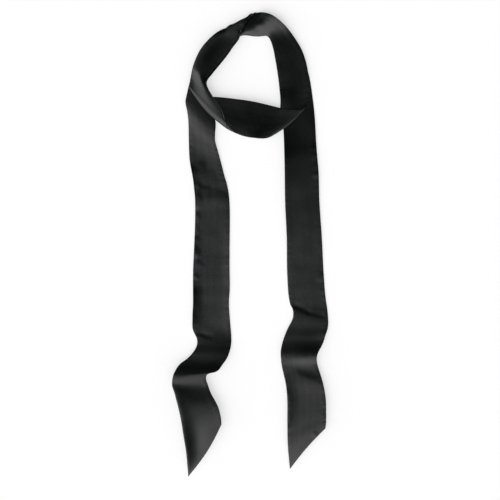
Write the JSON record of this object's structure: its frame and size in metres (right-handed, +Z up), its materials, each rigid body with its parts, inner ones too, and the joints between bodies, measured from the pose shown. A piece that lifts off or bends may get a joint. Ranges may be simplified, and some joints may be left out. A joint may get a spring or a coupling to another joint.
{
  "type": "silk scarf",
  "caption": "Long narrow satin scarf with slanted pointed ends, laid flat and wrapped once into an open neck loop with two hanging tails.",
  "frame": {"origin": "centre of the scarf's bounding box, on the surface that it lies on", "axes": "+Y from the tails' points to the top of the neck loop, +Z up from the surface, +X to the right of the picture"},
  "size_m": [0.2171, 0.6453, 0.0172],
  "materials": {
    "satin": "glossy black satin, sewn double with pressed edges"
  },
  "bodies": {
    "root": {"scarf_band": "satin"}
  },
  "joints": []
}
